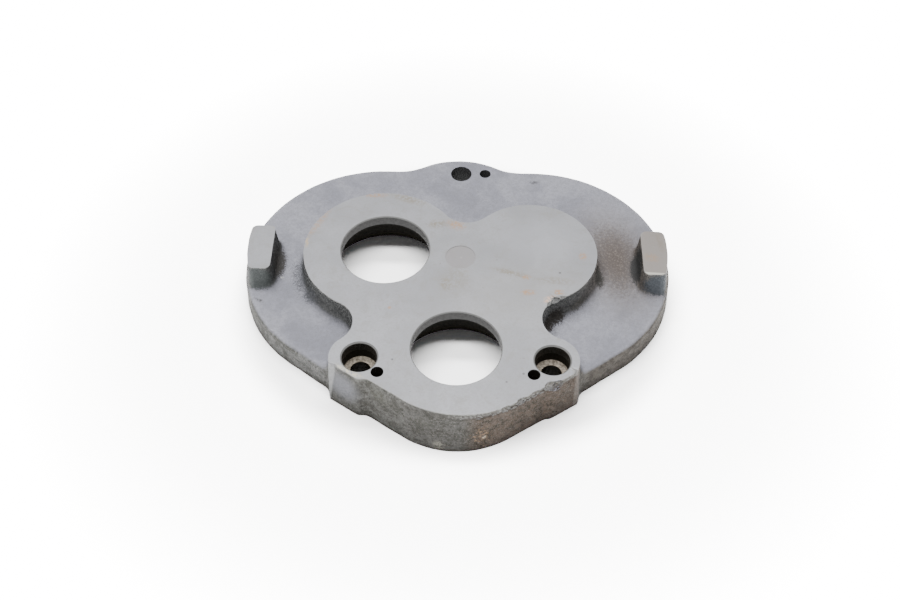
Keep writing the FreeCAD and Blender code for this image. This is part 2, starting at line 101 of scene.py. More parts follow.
# sand texture: its mean depth, its grain, and its lumps, which are twice as deep on upright walls
MEAN_DEPTH = 0.05
GRAIN_DEPTH = 0.035
LUMP_DEPTH = 0.05
GRAIN_SCALE = 0.9
LUMP_SCALE = 0.22
LUMP_SHIFT = Vector((7, 3, 1))

# how close counts as lying on a machined face or on the wall of a hole; the longest edges are
# chosen with the wider pair
ON_FACE = 0.001
ON_WALL = 0.02
NEAR_FACE = 0.01
NEAR_WALL = 0.05
# a normal whose z reaches this is level
LEVEL = 0.999
# a machined point that a chip has lowered by more than this counts as broken
SUNK = 0.01
CREASE = math.radians(32)

# finishes, in the order of the skin's materials
CAST = 0
MACHINED = 1
BORED = 2

# the smaller triangles made where one, two or three edges have a new middle: 0, 1 and 2 are the
# corners, and 3, 4 and 5 the middles of the edges 0-1, 1-2 and 2-0
CUTS = {
    1: ([0, 3, 2], [3, 1, 2]),
    2: ([0, 3, 2], [3, 1, 4], [3, 4, 2]),
    3: ([0, 3, 5], [3, 1, 4], [5, 4, 2], [3, 4, 5]),
}


def nose_edge(along):
    """A point on the nose's top edge and the direction out of the casting there."""
    x, y, radius = NOSE
    angle = min(along / radius, FLANK)
    outward = np.array((math.sin(angle), -math.cos(angle), 0))
    forward = np.array((math.cos(angle), math.sin(angle), 0))
    start = np.array((x, y, TOP)) + outward * radius
    return start + forward * (along - angle * radius), outward


def chip_balls():
    """Every chip as the middle of a ball and its radius."""
    balls = list(OTHER_CHIPS)
    for along, below, radius, bite in NOSE_CHIPS:
        edge, outward = nose_edge(along)
        middle = edge + outward * (radius - bite) - np.array((0, 0, below))
        balls.append((*middle, radius))
    return balls


CHIPS = chip_balls()


def hole_distance(points):
    """How far each point lies outside the nearest machined hole; negative inside one."""
    gaps = [np.hypot(points[:, 0] - x, points[:, 1] - y) - radius for x, y, radius in HOLES]
    return np.min(gaps, axis=0)


def on_machined(points, margin):
    """Whether each point lies within the margin of the machined top or of the joint face."""
    return (points[:, 2] > TOP - margin) | (points[:, 2] < margin)


def welded(mesh):
    """Vertices in mm and triangles of a mesh, with coincident vertices joined."""
    mesh.calc_loop_triangles()
    points = np.empty(len(mesh.vertices) * 3)
    mesh.vertices.foreach_get("co", points)
    corners = np.empty(len(mesh.loop_triangles) * 3, dtype=np.int32)
    mesh.loop_triangles.foreach_get("vertices", corners)
    points = points.reshape(-1, 3) / MM
    rounded = np.round(points, 4)
    _, first, joined = np.unique(rounded, axis=0, return_index=True, return_inverse=True)
    triangles = joined.reshape(-1)[corners].reshape(-1, 3)
    real = (triangles != np.roll(triangles, 1, axis=1)).all(axis=1)
    return points[first], triangles[real]


def edge_limit(points):
    """Longest edge wanted at each place: fine round the chips, coarse on machined faces."""
    limit = np.full(len(points), CAST_EDGE)
    limit[on_machined(points, NEAR_FACE)] = CUT_EDGE
    limit[hole_distance(points) < NEAR_WALL] = CUT_EDGE
    for x, y, z, radius in CHIPS:
        gap = np.linalg.norm(points - (x, y, z), axis=1)
        limit[gap < radius + CHIP_MARGIN] = CHIP_EDGE
    return limit


def cut_triangles(triangles, marks):
    """Cut each triangle at the new middles of its edges; -1 marks an edge without one."""
    amounts = (marks >= 0).sum(axis=1)
    made = [triangles[amounts == 0]]
    for amount, cuts in CUTS.items():
        some = triangles[amounts == amount]
        marked = marks[amounts == amount]
        # turn each triangle so that its first marked edge follows an unmarked one
        lead = (marked >= 0) & (np.roll(marked, 1, axis=1) < 0)
        lead[:, 0] |= amount == 3
        for k in range(3):
            turned = [np.roll(item[lead[:, k]], -k, axis=1) for item in (some, marked)]
            corners = np.concatenate(turned, axis=1)
            made += [corners[:, cut] for cut in cuts]
    return np.concatenate(made)


def refine(points, triangles):
    """Split long edges in half, longest first, until every edge is short enough."""
    for _ in range(MOST_ROUNDS):
        ends = np.stack([triangles, np.roll(triangles, -1, axis=1)], axis=2).reshape(-1, 2)
        pairs, which = np.unique(np.sort(ends, axis=1), axis=0, return_inverse=True)
        which = which.reshape(-1, 3)
        lengths = np.linalg.norm(points[pairs[:, 0]] - points[pairs[:, 1]], axis=1)
        middles = points[pairs].mean(axis=1)
        longest = which[np.arange(len(which)), np.argmax(lengths[which], axis=1)]
        split = np.zeros(len(pairs), dtype=bool)
        split[longest] = lengths[longest] > edge_limit(middles)[longest]
        if not split.any():
            break
        fresh = np.full(len(pairs), -1)
        fresh[split] = len(points) + np.arange(split.sum())
        points = np.concatenate([points, middles[split]])
        triangles = cut_triangles(triangles, fresh[which])
    return points, triangles


def face_kinds(points, triangles):
    """The finish and the normal of each triangle."""
    a, b, c = (points[triangles[:, k]] for k in range(3))
    normal = np.cross(b - a, c - a)
    normal /= np.linalg.norm(normal, axis=1, keepdims=True) + 1e-12
    middle = (a + b + c) / 3
    flat = (np.abs(normal[:, 2]) > LEVEL) & on_machined(middle, ON_FACE)
    kinds = np.where(flat, MACHINED, CAST)
    kinds[(hole_distance(middle) < ON_WALL) & ~flat] = BORED
    x, y = SPOT_FACE
    spot = np.hypot(middle[:, 0] - x, middle[:, 1] - y) < SPOT_FACE_RADIUS
    kinds[spot & (middle[:, 2] > TOP - 1)] = MACHINED
    return kinds, normal


def perlin(place):
    """Smooth noise that is the same on every run."""
    return noise.noise(place, noise_basis="PERLIN_ORIGINAL")


def sand_textured(points, triangles, kinds, normal):
    """The points with the as-cast faces sunk by uneven sand texture, 0.19 mm at most."""
    cast = kinds == CAST
    direction = np.zeros_like(points)
    for k in range(3):
        np.add.at(direction, triangles[cast, k], normal[cast])
    size = np.linalg.norm(direction, axis=1)
    moving = size > 1e-9
    direction[moving] /= size[moving, None]
    direction[on_machined(points, ON_FACE), 2] = 0
    direction[hole_distance(points) < ON_WALL] = 0
    moved = points.copy()
    for i in np.flatnonzero(moving):
        place = Vector(points[i])
        grain = perlin(place * GRAIN_SCALE)
        lumps = perlin(place * LUMP_SCALE + LUMP_SHIFT)
        upright = 1 - min(1, abs(direction[i, 2]))
        depth = MEAN_DEPTH + GRAIN_DEPTH * grain + LUMP_DEPTH * (1 + upright) * (lumps + 0.5)
        moved[i] -= direction[i] * max(0.0, depth)
    return moved


def scoop_chips(points, moved):
    """Push each moved point that lies inside a chip's ball out to the ball's uneven surface."""
    in_hole = hole_distance(points) < ON_WALL
    for x, y, z, radius in CHIPS:
        centre = np.array((x, y, z))
        ray = moved - centre
        gap = np.linalg.norm(ray, axis=1)
        inside = (gap < radius) & ~in_hole
        for i in np.flatnonzero(inside):
            wobble = 1 + CHIP_WOBBLE * perlin(Vector(points[i]) * WOBBLE_SCALE)
            moved[i] = centre + ray[i] / gap[i] * radius * wobble
            moved[i, 2] = min(moved[i, 2], TOP)


def make_skin(node):
    """The casting as seen: the CAD shape with sand texture, chips and a material per finish."""
    points, triangles = refine(*welded(node.data))
    kinds, normal = face_kinds(points, triangles)
    worked = sand_textured(points, triangles, kinds, normal)
    scoop_chips(points, worked)
    # where a chip cuts into the machined top, broken metal shows
    sunk = points[:, 2] - worked[:, 2] > SUNK
    kinds[(kinds == MACHINED) & (sunk[triangles].sum(axis=1) > 1)] = CAST
    mesh = bpy.data.meshes.new("casting_skin")
    mesh.from_pydata((worked * MM).tolist(), [], triangles.tolist())
    mesh.polygons.foreach_set("material_index", kinds.astype(np.int32))
    mesh.polygons.foreach_set("use_smooth", np.ones(len(triangles), dtype=bool))
    mesh.set_sharp_from_angle(angle=CREASE)
    mesh.update()
    skin = bpy.data.objects.new("casting_skin", mesh)
    bpy.context.scene.collection.objects.link(skin)
    return skin


# ---------------------------------------------------------------- material nodes
class Graph:
    """Adds shader nodes to one material."""

    def __init__(self, name):
        self.material = bpy.data.materials.new(name)
        self.material.use_nodes = True
        self.nodes = self.material.node_tree.nodes
        self.links = self.material.node_tree.links
        self.nodes.clear()

    def put(self, socket, value):
        """Link a node's output to the socket, or set the socket's own value."""
        if isinstance(value, bpy.types.NodeSocket):
            self.links.new(value, socket)
        else:
            socket.default_value = value

    def math(self, operation, a, b=0.0):
        node = self.nodes.new("ShaderNodeMath")
        node.operation = operation
        self.put(node.inputs[0], a)
        self.put(node.inputs[1], b)
        return node.outputs[0]

    def times(self, value, *others):
        """The product of all the values."""
        for other in others:
            value = self.math("MULTIPLY", value, other)
        return value

    def mix(self, factor, a, b):
        """Colour a where the factor is 0, colour b where it is 1."""
        node = self.nodes.new("ShaderNodeMix")
        node.data_type = "RGBA"
        self.put(node.inputs[0], factor)
        self.put(node.inputs[6], a)
        self.put(node.inputs[7], b)
        return node.outputs[2]

    def ramp(self, value, low, high, start=0.0, finish=1.0):
        """Smooth step from start at low to finish at high."""
        node = self.nodes.new("ShaderNodeMapRange")
        node.interpolation_type = "SMOOTHSTEP"
        for socket, item in zip(node.inputs, (value, low, high, start, finish)):
            self.put(socket, item)
        return node.outputs[0]

    def noise(self, place, scale, detail, rough, distortion=0.0):
        node = self.nodes.new("ShaderNodeTexNoise")
        self.put(node.inputs["Vector"], place)
        node.inputs["Scale"].default_value = scale
        node.inputs["Detail"].default_value = detail
        node.inputs["Roughness"].default_value = rough
        node.inputs["Distortion"].default_value = distortion
        return node.outputs["Fac"]

    def parts(self, vector):
        """The x, y and z of a vector."""
        node = self.nodes.new("ShaderNodeSeparateXYZ")
        self.put(node.inputs[0], vector)
        return node.outputs

    def place(self):
        """Object coordinates in millimetres."""
        coords = self.nodes.new("ShaderNodeTexCoord")
        scaled = self.nodes.new("ShaderNodeVectorMath")
        scaled.operation = "SCALE"
        self.put(scaled.inputs[0], coords.outputs["Object"])
        scaled.inputs["Scale"].default_value = 1 / MM
        return scaled.outputs[0]

    def blob(self, place, x, y, z, across, along, turn, edge):
        """1 inside an ellipse about x, y, z in millimetres, fading from edge to 0 at its rim."""
        node = self.nodes.new("ShaderNodeMapping")
        node.vector_type = "TEXTURE"
        self.put(node.inputs["Vector"], place)
        node.inputs["Location"].default_value = (x, y, z)
        node.inputs["Rotation"].default_value = (0, 0, math.radians(turn))
        node.inputs["Scale"].default_value = (across, along, max(across, along))
        length = self.nodes.new("ShaderNodeVectorMath")
        length.operation = "LENGTH"
        self.links.new(node.outputs[0], length.inputs[0])
        return self.ramp(length.outputs["Value"], edge, 1.0, 1.0, 0.0)

    def bump(self, height, strength, distance):
        node = self.nodes.new("ShaderNodeBump")
        node.inputs["Strength"].default_value = strength
        node.inputs["Distance"].default_value = distance
        self.put(node.inputs["Height"], height)
        return node.outputs[0]

    def finish(self, colour, roughness, metallic=0.0, normal=None, specular=0.5):
        """Join a shader to the material's output, and give the shader back."""
        shader = self.nodes.new("ShaderNodeBsdfPrincipled")
        self.put(shader.inputs["Base Color"], colour)
        self.put(shader.inputs["Roughness"], roughness)
        self.put(shader.inputs["Metallic"], metallic)
        self.put(shader.inputs["Specular IOR Level"], specular)
        if normal:
            self.put(shader.inputs["Normal"], normal)
        out = self.nodes.new("ShaderNodeOutputMaterial")
        self.links.new(shader.outputs[0], out.inputs["Surface"])
        return shader


def rgb(r, g, b):
    return (r, g, b, 1.0)


# dirt and rust; the soot black also serves as painted shade on the nose, and the slate grey as
# painted shade in the corners
RUST = rgb(0.17, 0.10, 0.055)
TAN = rgb(0.098, 0.087, 0.068)
SOOT_AND_SHADE = rgb(0.012, 0.011, 0.010)
GRIME = rgb(0.028, 0.027, 0.025)
SLATE = rgb(0.036, 0.037, 0.040)

# tones of machined faces
CUT_DULL = rgb(0.122, 0.124, 0.132)
CUT_BRIGHT = rgb(0.146, 0.148, 0.158)
CUT_GRAIN = rgb(0.112, 0.111, 0.110)
CUT_SCUFF = rgb(0.110, 0.108, 0.104)
CUT_WARM = rgb(0.15, 0.147, 0.142)
CUT_COOL = rgb(0.16, 0.162, 0.175)
CUT_BROWN = rgb(0.098, 0.084, 0.071)
CUT_BARE = rgb(0.22, 0.21, 0.19)
CUT_SPECK = rgb(0.06, 0.055, 0.05)
SPOT_TONE = rgb(0.108, 0.101, 0.101)
JOINT_TONE = rgb(0.125, 0.125, 0.13)

# tones of as-cast faces
LEDGE_DULL = rgb(0.106, 0.107, 0.124)
LEDGE_BRIGHT = rgb(0.146, 0.147, 0.166)
LEDGE_SAND = rgb(0.080, 0.080, 0.086)
# upright walls are far darker than the ledge: part their own tone, part painted shade
WALL_DARK = rgb(0.018, 0.018, 0.015)
WALL_LIGHT = rgb(0.056, 0.056, 0.053)
WALL_SAND = rgb(0.070, 0.069, 0.066)
# the left rim's wall, painted paler as lit
RIM_DARK = rgb(0.044, 0.044, 0.043)
RIM_LIGHT = rgb(0.102, 0.102, 0.100)
WALL_PIT = rgb(0.016, 0.015, 0.013)
NOSE_DARK = rgb(0.007, 0.005, 0.003)
NOSE_LIGHT = rgb(0.028, 0.0205, 0.0155)
NOSE_SAND = rgb(0.046, 0.037, 0.031)
FLECK = rgb(0.085, 0.080, 0.073)
BROWN_RIM_DARK = rgb(0.017, 0.014, 0.012)
BROWN_RIM_LIGHT = rgb(0.050, 0.044, 0.038)
RUST_DOT = rgb(0.115, 0.078, 0.048)
FOOT_SHADE = rgb(0.018, 0.016, 0.014)
BOSS_WALL_SHADE = rgb(0.027, 0.028, 0.030)
WORN_METAL = rgb(0.10, 0.10, 0.098)
WORN_DARK = rgb(0.035, 0.034, 0.031)
CHIP_LIT_TONE = rgb(0.095, 0.095, 0.094)
LIP_TONE = rgb(0.14, 0.138, 0.132)
ZONE_BROWN = rgb(0.078, 0.069, 0.062)
ZONE_DARK = rgb(0.025, 0.018, 0.014)
ZONE_PALE = rgb(0.14, 0.122, 0.106)
FACET_TONE = rgb(0.080, 0.081, 0.090)
LEFT_EAR_LIT = rgb(0.12, 0.121, 0.122)
RIGHT_EAR_HIGHLIGHT = rgb(0.095, 0.086, 0.080)

# tones of bored walls
BORE_DARK = rgb(0.022, 0.022, 0.021)
BORE_LIGHT = rgb(0.046, 0.045, 0.044)
# near-black tones of the seats, painted as shade
SEAT_SHADE_DARK = rgb(0.004, 0.0035, 0.002)
SEAT_SHADE_LIGHT = rgb(0.012, 0.010, 0.007)
RECESS_BRIGHT = rgb(0.16, 0.14, 0.115)
RECESS_DULL = rgb(0.06, 0.052, 0.04)
BACK_HOLE = rgb(0.036, 0.036, 0.037)

# tones of floor and sky
PAPER_DULL = rgb(0.96, 0.96, 0.955)
PAPER_BRIGHT = rgb(0.975, 0.97, 0.965)
GLOW = rgb(1.0, 0.998, 0.99)
WHITE = rgb(1, 1, 1)

# stains: x, y and z of the middle, size across and along, turn in degrees, tint and strength
TOP_STAINS = (
    (-47.0, 18.5, TOP, 1.9, 12.0, -26.0, RUST, 0.5),
    (-50.2, 9.5, TOP, 1.0, 3.4, 0.0, rgb(0.22, 0.16, 0.09), 0.8),
    (-28.6, 32.0, TOP, 6.0, 1.5, 0.0, RUST, 0.75),
    (-17.0, 30.4, TOP, 9.0, 2.6, -18.0, TAN, 0.8),
    (-0.5, 18.6, TOP, 5.0, 3.0, -20.0, RUST, 0.8),
    (-7.0, 19.0, TOP, 4.6, 2.8, 10.0, TAN, 0.9),
    (-3.4, -7.8, TOP, 3.0, 4.6, 20.0, TAN, 0.9),
    (0.5, -5.0, TOP, 6.0, 9.0, 10.0, TAN, 0.5),
    (18.0, -2.4, TOP, 9.5, 1.9, -16.0, TAN, 0.85),
    (32.0, -5.6, TOP, 10.0, 2.4, -4.0, TAN, 0.6),
    (22.9, -4.3, TOP, 2.1, 1.4, 0.0, RUST, 1.0),
    (23.4, -10.7, TOP, 3.4, 1.7, 0.0, RUST, 1.0),
    (33.1, -10.4, TOP, 2.6, 1.7, 0.0, RUST, 1.0),
    (30.2, -13.4, TOP, 3.2, 1.9, 30.0, rgb(0.30, 0.19, 0.13), 0.9),
    (41.6, 5.2, TOP, 1.8, 2.4, 0.0, RUST, 1.0),
    (64.4, 5.2, TOP, 3.8, 2.6, -20.0, rgb(0.21, 0.12, 0.055), 0.95),
    (67.5, 12.0, TOP, 1.6, 6.0, 8.0, TAN, 0.9),
    (-59.9, 16.0, TOP, 3.0, 1.0, -10.0, RUST, 0.6),
    (-32.0, -43.6, TOP, 7.0, 1.6, -30.0, rgb(0.24, 0.22, 0.17), 0.9),
)
CAST_STAINS = (
    (-27.8, -45.3, 10, 0.8, 0.8, 0, SOOT_AND_SHADE, 1.0),
    (-27.9, -45.3, 7, 0.7, 0.7, 0, GRIME, 0.7),
    (26.6, 48.5, LEDGE, 2.4, 1.4, 0, SOOT_AND_SHADE, 0.6),
    (-65.0, -8.2, LEDGE, 2.6, 0.9, -30, GRIME, 0.8),
    (-58.4, 1.6, LEDGE, 0.9, 0.7, 0, rgb(0.22, 0.22, 0.21), 0.9),
    (9.5, -58.0, 6, 1.2, 1.2, 0, rgb(0.22, 0.19, 0.15), 1.0),
    (-4.0, -58.4, 2.5, 3.0, 3.0, 0, rgb(0.11, 0.105, 0.09), 0.8),
    (-22.0, -48.0, 13, 5.0, 5.0, 0, rgb(0.035, 0.035, 0.028), 0.5),
    (-8.0, -57.0, 12, 4.0, 4.0, 0, rgb(0.03, 0.03, 0.026), 0.55),
)
# small marks on the machined top: x, y, radius and tint
TOP_MARKS = (
    (33.8, -2.1, 0.55, SOOT_AND_SHADE),
    (-21.0, -18.0, 0.8, RUST),
    (-19.0, -38.6, 0.5, SOOT_AND_SHADE),
    (16.2, -46.4, 0.5, GRIME),
    (21.4, -43.2, 0.6, GRIME),
    (1.5, 4.0, 0.6, rgb(0.22, 0.22, 0.22)),
)
# dirt sprayed on as dots: middle, size across and along, turn in degrees, density and tint
SPRAYS = (
    (-36.4, -13.4, LEDGE, 9.0, 6.5, -20, 0.9, SLATE),
    (-37.2, -13.8, LEDGE, 4.0, 3.0, -20, 1.0, rgb(0.035, 0.028, 0.012)),
    (31.2, -13.0, LEDGE, 9.0, 7.5, 30, 1.1, SOOT_AND_SHADE),
    (29.0, -17.0, LEDGE, 5.5, 7.0, 0, 1.0, SOOT_AND_SHADE),
    (39.0, -7.6, LEDGE, 10.0, 5.6, 50, 1.0, GRIME),
    (46.5, 3.5, LEDGE, 5.0, 9.0, 10, 0.95, GRIME),
    (-52.5, 1.0, LEDGE, 6.5, 18.0, 14, 0.62, SLATE),
    (-46.5, -7.6, LEDGE, 6.0, 11.0, 60, 0.75, SLATE),
    (-60.2, 7.4, LEDGE + 1, 5.0, 13.0, 0, 0.95, rgb(0.026, 0.025, 0.024)),
    (-65.5, -2.6, LEDGE + 4, 9.0, 4.0, 0, 1.1, rgb(0.031, 0.034, 0.034)),
    (60.2, 7.0, LEDGE + 3, 4.2, 12.0, 0, 1.1, rgb(0.020, 0.020, 0.020)),
    (66.5, -2.4, LEDGE + 4, 9.0, 4.0, 0, 1.1, rgb(0.026, 0.029, 0.033)),
    (38.2, -46.0, LEDGE, 3.5, 5.0, 0, 0.6, GRIME),
)


def stained(g, place, colour, stains):
    """Lay each stain over the colour, broken up by noise."""
    broken = g.ramp(g.noise(place, 1.1, 5, 0.75), 0.41, 0.54)
    for *shape, tint, strength in stains:
        spot = g.blob(place, *shape, 0.2)
        colour = g.mix(g.times(spot, broken, strength), colour, tint)
    return colour


def speckled(g, density, grain, soft):
    """Dots that grow closer together as the density rises from 0 to 1."""
    return g.ramp(g.math("ADD", grain, g.times(density, 0.5)), 0.72, 0.72 + soft)


def machined_material():
    """Bright cut face with faint cloudy patches, a few rust stains and specks."""
    g = Graph("machined_face")
    place = g.place()
    x, y, z = g.parts(place)
    cloud = g.noise(place, 0.06, 4, 0.6, 0.6)
    fine = g.noise(place, 1.3, 6, 0.75)
    colour = g.mix(g.ramp(cloud, 0.32, 0.68), CUT_DULL, CUT_BRIGHT)
    colour = g.mix(g.ramp(fine, 0.42, 0.62, 0.0, 0.45), colour, CUT_GRAIN)
    scuffs = g.ramp(g.noise(place, 0.22, 6, 0.8, 0.8), 0.52, 0.62, 0.0, 0.5)
    colour = g.mix(scuffs, colour, CUT_SCUFF)
    warm = g.blob(place, 20, -12, TOP, 36, 20, 10, 0.1)
    colour = g.mix(g.times(warm, 0.35), colour, CUT_WARM)
    cool = g.blob(place, 28, 12, TOP, 18, 14, 0, 0.3)
    colour = g.mix(g.times(cool, 0.45), colour, CUT_COOL)
    colour = stained(g, place, colour, TOP_STAINS)
    right_lug = g.blob(place, 66.2, 7.4, TOP, 7, 14, 0, 0.8)
    colour = g.mix(g.times(right_lug, 0.75), colour, CUT_BROWN)
    # bare bright line along the front edge of the right lug, which slopes a little
    slope = g.times(g.math("SUBTRACT", x, 64.0), -0.06)
    edge = g.ramp(g.math("SUBTRACT", y, slope), -1.0, -1.5)
    line = g.times(edge, g.ramp(x, 59, 60), g.ramp(y, -4, -3))
    colour = g.mix(line, colour, CUT_BARE)
    specks = g.ramp(g.noise(place, 0.5, 2, 0.5), 0.72, 0.78)
    colour = g.mix(g.times(specks, 0.4), colour, CUT_SPECK)
    for mark_x, mark_y, size, tint in TOP_MARKS:
        dot = g.blob(place, mark_x, mark_y, TOP, size, size, 0, 0.3)
        colour = g.mix(g.times(dot, 0.75), colour, tint)
    spot = g.blob(place, *SPOT_FACE, TOP, 5.4, 5.4, 0, 0.88)
    colour = g.mix(g.times(spot, 0.7), colour, SPOT_TONE)
    colour = g.mix(g.ramp(z, 8.5, 9.5), JOINT_TONE, colour)
    scratches = g.noise(place, 3.5, 8, 0.8)
    relief = g.bump(g.math("ADD", scratches, fine), 0.16, 0.00005)
    g.finish(colour, g.ramp(fine, 0.3, 0.8, 0.42, 0.58), 0.25, relief)
    return g.material


def ledge_tone(g, place, sand):
    """Level as-cast faces: pale grey with cloudy patches."""
    cloud = g.noise(place, 0.07, 3, 0.6, 0.5)
    ledge = g.mix(g.ramp(cloud, 0.3, 0.7), LEDGE_DULL, LEDGE_BRIGHT)
    ledge = g.mix(g.times(sand, 0.35), ledge, LEDGE_SAND)
    return ledge


def wall_tone(g, place, mottle, grain, sand):
    """Mottled upright walls, painted dark as shade; the left rim's low walls painted paler as lit,
    and the nose painted darker still, most from its middle to the right, as shade.
    """
    x, y, z = g.parts(place)
    wall = g.mix(g.ramp(mottle, 0.43, 0.57), WALL_DARK, WALL_LIGHT)
    wall = g.mix(g.ramp(sand, 0.1, 0.9, 0.6, 0.0), wall, WALL_SAND)
    # painted light: the left rim's low walls, on the side the light comes from, are paler
    lit_left_rim = g.times(g.ramp(x, -34, -46), g.ramp(z, 9.5, 8.8))
    lit_rim_wall = g.mix(g.ramp(mottle, 0.3, 0.7), RIM_DARK, RIM_LIGHT)
    wall = g.mix(lit_left_rim, wall, lit_rim_wall)
    wall = g.mix(g.ramp(grain, 0.50, 0.60, 0.0, 0.7), wall, WALL_PIT)
    patches = g.noise(place, 0.13, 4, 0.7, 0.6)
    wall = g.mix(g.ramp(patches, 0.48, 0.58, 0.0, 0.65), wall, WALL_DARK)
    # painted shade: the nose's walls darken towards black, most from its middle to the right
    front = g.times(g.ramp(x, -24, -6, 0.18, 0.52), g.ramp(y, -36, -42))
    wall = g.mix(front, wall, SOOT_AND_SHADE)
    return wall


def browned_and_shaded(g, place, wall, mottle, sand):
    """The right side is browner, most of all on the nose's right flank; painted shade darkens the
    walls' foot and the boss's walls.
    """
    x, y, z = g.parts(place)
    nose = g.times(g.ramp(x, 2, 9), g.ramp(y, -38, -42))
    brown = g.mix(g.ramp(mottle, 0.42, 0.57), NOSE_DARK, NOSE_LIGHT)
    brown = g.mix(g.ramp(sand, 0.0, 1.0, 0.5, 0.0), brown, NOSE_SAND)
    flecks = g.ramp(g.noise(place, 2.0, 3, 0.7), 0.57, 0.64, 0.0, 0.45)
    wall = g.mix(g.times(nose, 0.9), wall, brown)
    wall = g.mix(flecks, wall, FLECK)
    right_rim = g.times(g.ramp(x, 34, 46, 0.0, 0.7), g.ramp(y, -41, -37))
    brown_rim = g.mix(g.ramp(mottle, 0.35, 0.65), BROWN_RIM_DARK, BROWN_RIM_LIGHT)
    wall = g.mix(right_rim, wall, brown_rim)
    rust = g.blob(place, 9.0, -57.0, 7, 7.5, 9, 0, 0.1)
    rusty = speckled(g, g.times(rust, 0.5), g.noise(place, 1.1, 4, 0.8), 0.12)
    wall = g.mix(g.times(rusty, 0.7), wall, RUST_DOT)
    # painted shade along the walls' foot, where they meet the floor
    wall = g.mix(g.ramp(z, 1.8, 0.2, 0.0, 0.6), wall, FOOT_SHADE)
    # painted shade on the boss's walls above the ledge, behind the nose
    boss_wall_shade = g.times(g.ramp(z, 9.2, 9.8, 0.0, 0.65), g.ramp(y, -40, -34))
    wall = g.mix(boss_wall_shade, wall, BOSS_WALL_SHADE)
    return wall


def worn_and_lit_edges(g, place, wall, mottle, grain, rise):
    """Worn grey band and dark pits under the nose's top edge, painted light on up-tilted chip
    faces, and a paler lip.
    """
    x, y, z = g.parts(place)
    worn = g.times(g.ramp(x, -3, 3), g.ramp(y, -38, -42))
    height = g.math("ADD", z, g.times(mottle, 3.0))
    band = g.times(worn, g.ramp(height, 17.3, 17.8))
    worn_tone = g.mix(g.ramp(grain, 0.38, 0.56), WORN_METAL, WORN_DARK)
    wall = g.mix(g.times(band, 0.7), wall, worn_tone)
    pit_line = g.times(g.ramp(height, 16.7, 17.2), g.ramp(height, 17.9, 17.4))
    pits = g.times(pit_line, worn, g.ramp(grain, 0.46, 0.56))
    wall = g.mix(g.times(pits, 0.8), wall, SOOT_AND_SHADE)
    # painted light: faces high on the walls that tilt up are paler, as if lit
    facing = g.times(g.ramp(rise, 0.16, 0.36), g.ramp(z, 14.5, 15.5))
    wall = g.mix(g.times(facing, 0.6), wall, CHIP_LIT_TONE)
    lip = g.ramp(z, 17.45, 17.8)
    wall = g.mix(g.times(lip, 0.5), wall, LIP_TONE)
    return wall


def brown_zone(g, place, colour):
    """Brown speckled zone between the boss and the right lug."""
    zone = g.blob(place, 53.5, 12, LEDGE, 21, 36, 10, 0.0)
    colour = g.mix(g.times(zone, 0.8), colour, ZONE_BROWN)
    dots = speckled(g, zone, g.noise(place, 1.0, 4, 0.8), 0.2)
    colour = g.mix(g.times(dots, zone, 0.6), colour, ZONE_DARK)
    pale_dots = g.ramp(g.noise(place, 1.6, 4, 0.8), 0.52, 0.62)
    colour = g.mix(g.times(pale_dots, zone, 0.45), colour, ZONE_PALE)
    return colour


def corner_shade_and_dirt(g, place, colour):
    """Dark dots where walls meet the ledge, found by ambient occlusion, part dirt and part painted
    shade; and dirt dots in a few places.
    """
    x, y, z = g.parts(place)
    # ambient occlusion finds the corners; the dark dots laid there are part dirt, part painted
    # shade
    hollow = g.nodes.new("ShaderNodeAmbientOcclusion")
    hollow.samples = 8
    hollow.inputs["Distance"].default_value = 0.008
    depth = g.ramp(hollow.outputs["AO"], 0.97, 0.5)
    above = g.ramp(z, 8.7, 8.9)
    corner = g.times(depth, above)
    side = g.ramp(x, -10, 40, 0.6, 1.0)
    back = g.ramp(y, 22, 34, 1.0, 0.35)
    corner = g.times(corner, g.times(side, back))
    fine_dots = g.noise(place, 1.9, 5, 0.85)
    colour = g.mix(speckled(g, corner, fine_dots, 0.2), colour, SLATE)
    for *shape, density, tint in SPRAYS:
        patch = g.times(g.blob(place, *shape, 0.15), density)
        colour = g.mix(speckled(g, patch, fine_dots, 0.18), colour, tint)
    return colour


def ear_facet_and_lit_strips(g, place, colour):
    """The left ear's corner is worn to a smooth facet; the left ear's flank, which faces up and
    left, is painted pale as lit, and the right ear's end has a faint painted highlight.
    """
    x, y, z = g.parts(place)
    facet = g.blob(place, -34.4, -43.4, 10, 8.4, 6.0, -34, 0.2)
    colour = g.mix(g.times(facet, 0.75), colour, FACET_TONE)
    run = g.math("SUBTRACT", g.times(x, 0.829), g.times(y, 0.559))
    # painted light: the left ear's flank, facing up and left, is paler
    left_width = g.ramp(z, 0, TOP, -9.3, -7.2)
    beyond = g.ramp(g.math("SUBTRACT", run, left_width), 0.5, -0.3)
    left_lit_strip = g.times(beyond, g.ramp(y, -38.5, -39.5), g.ramp(x, -35, -36))
    colour = g.mix(g.times(left_lit_strip, 0.85), colour, LEFT_EAR_LIT)
    # painted highlight: a faint brownish band at the right ear's end
    right_highlight_strip = g.times(g.ramp(x, 37.3, 37.9), g.ramp(x, 40.2, 39.6), g.ramp(y, -39.0, -40.0))
    colour = g.mix(g.times(right_highlight_strip, 0.3), colour, RIGHT_EAR_HIGHLIGHT)
    return colour


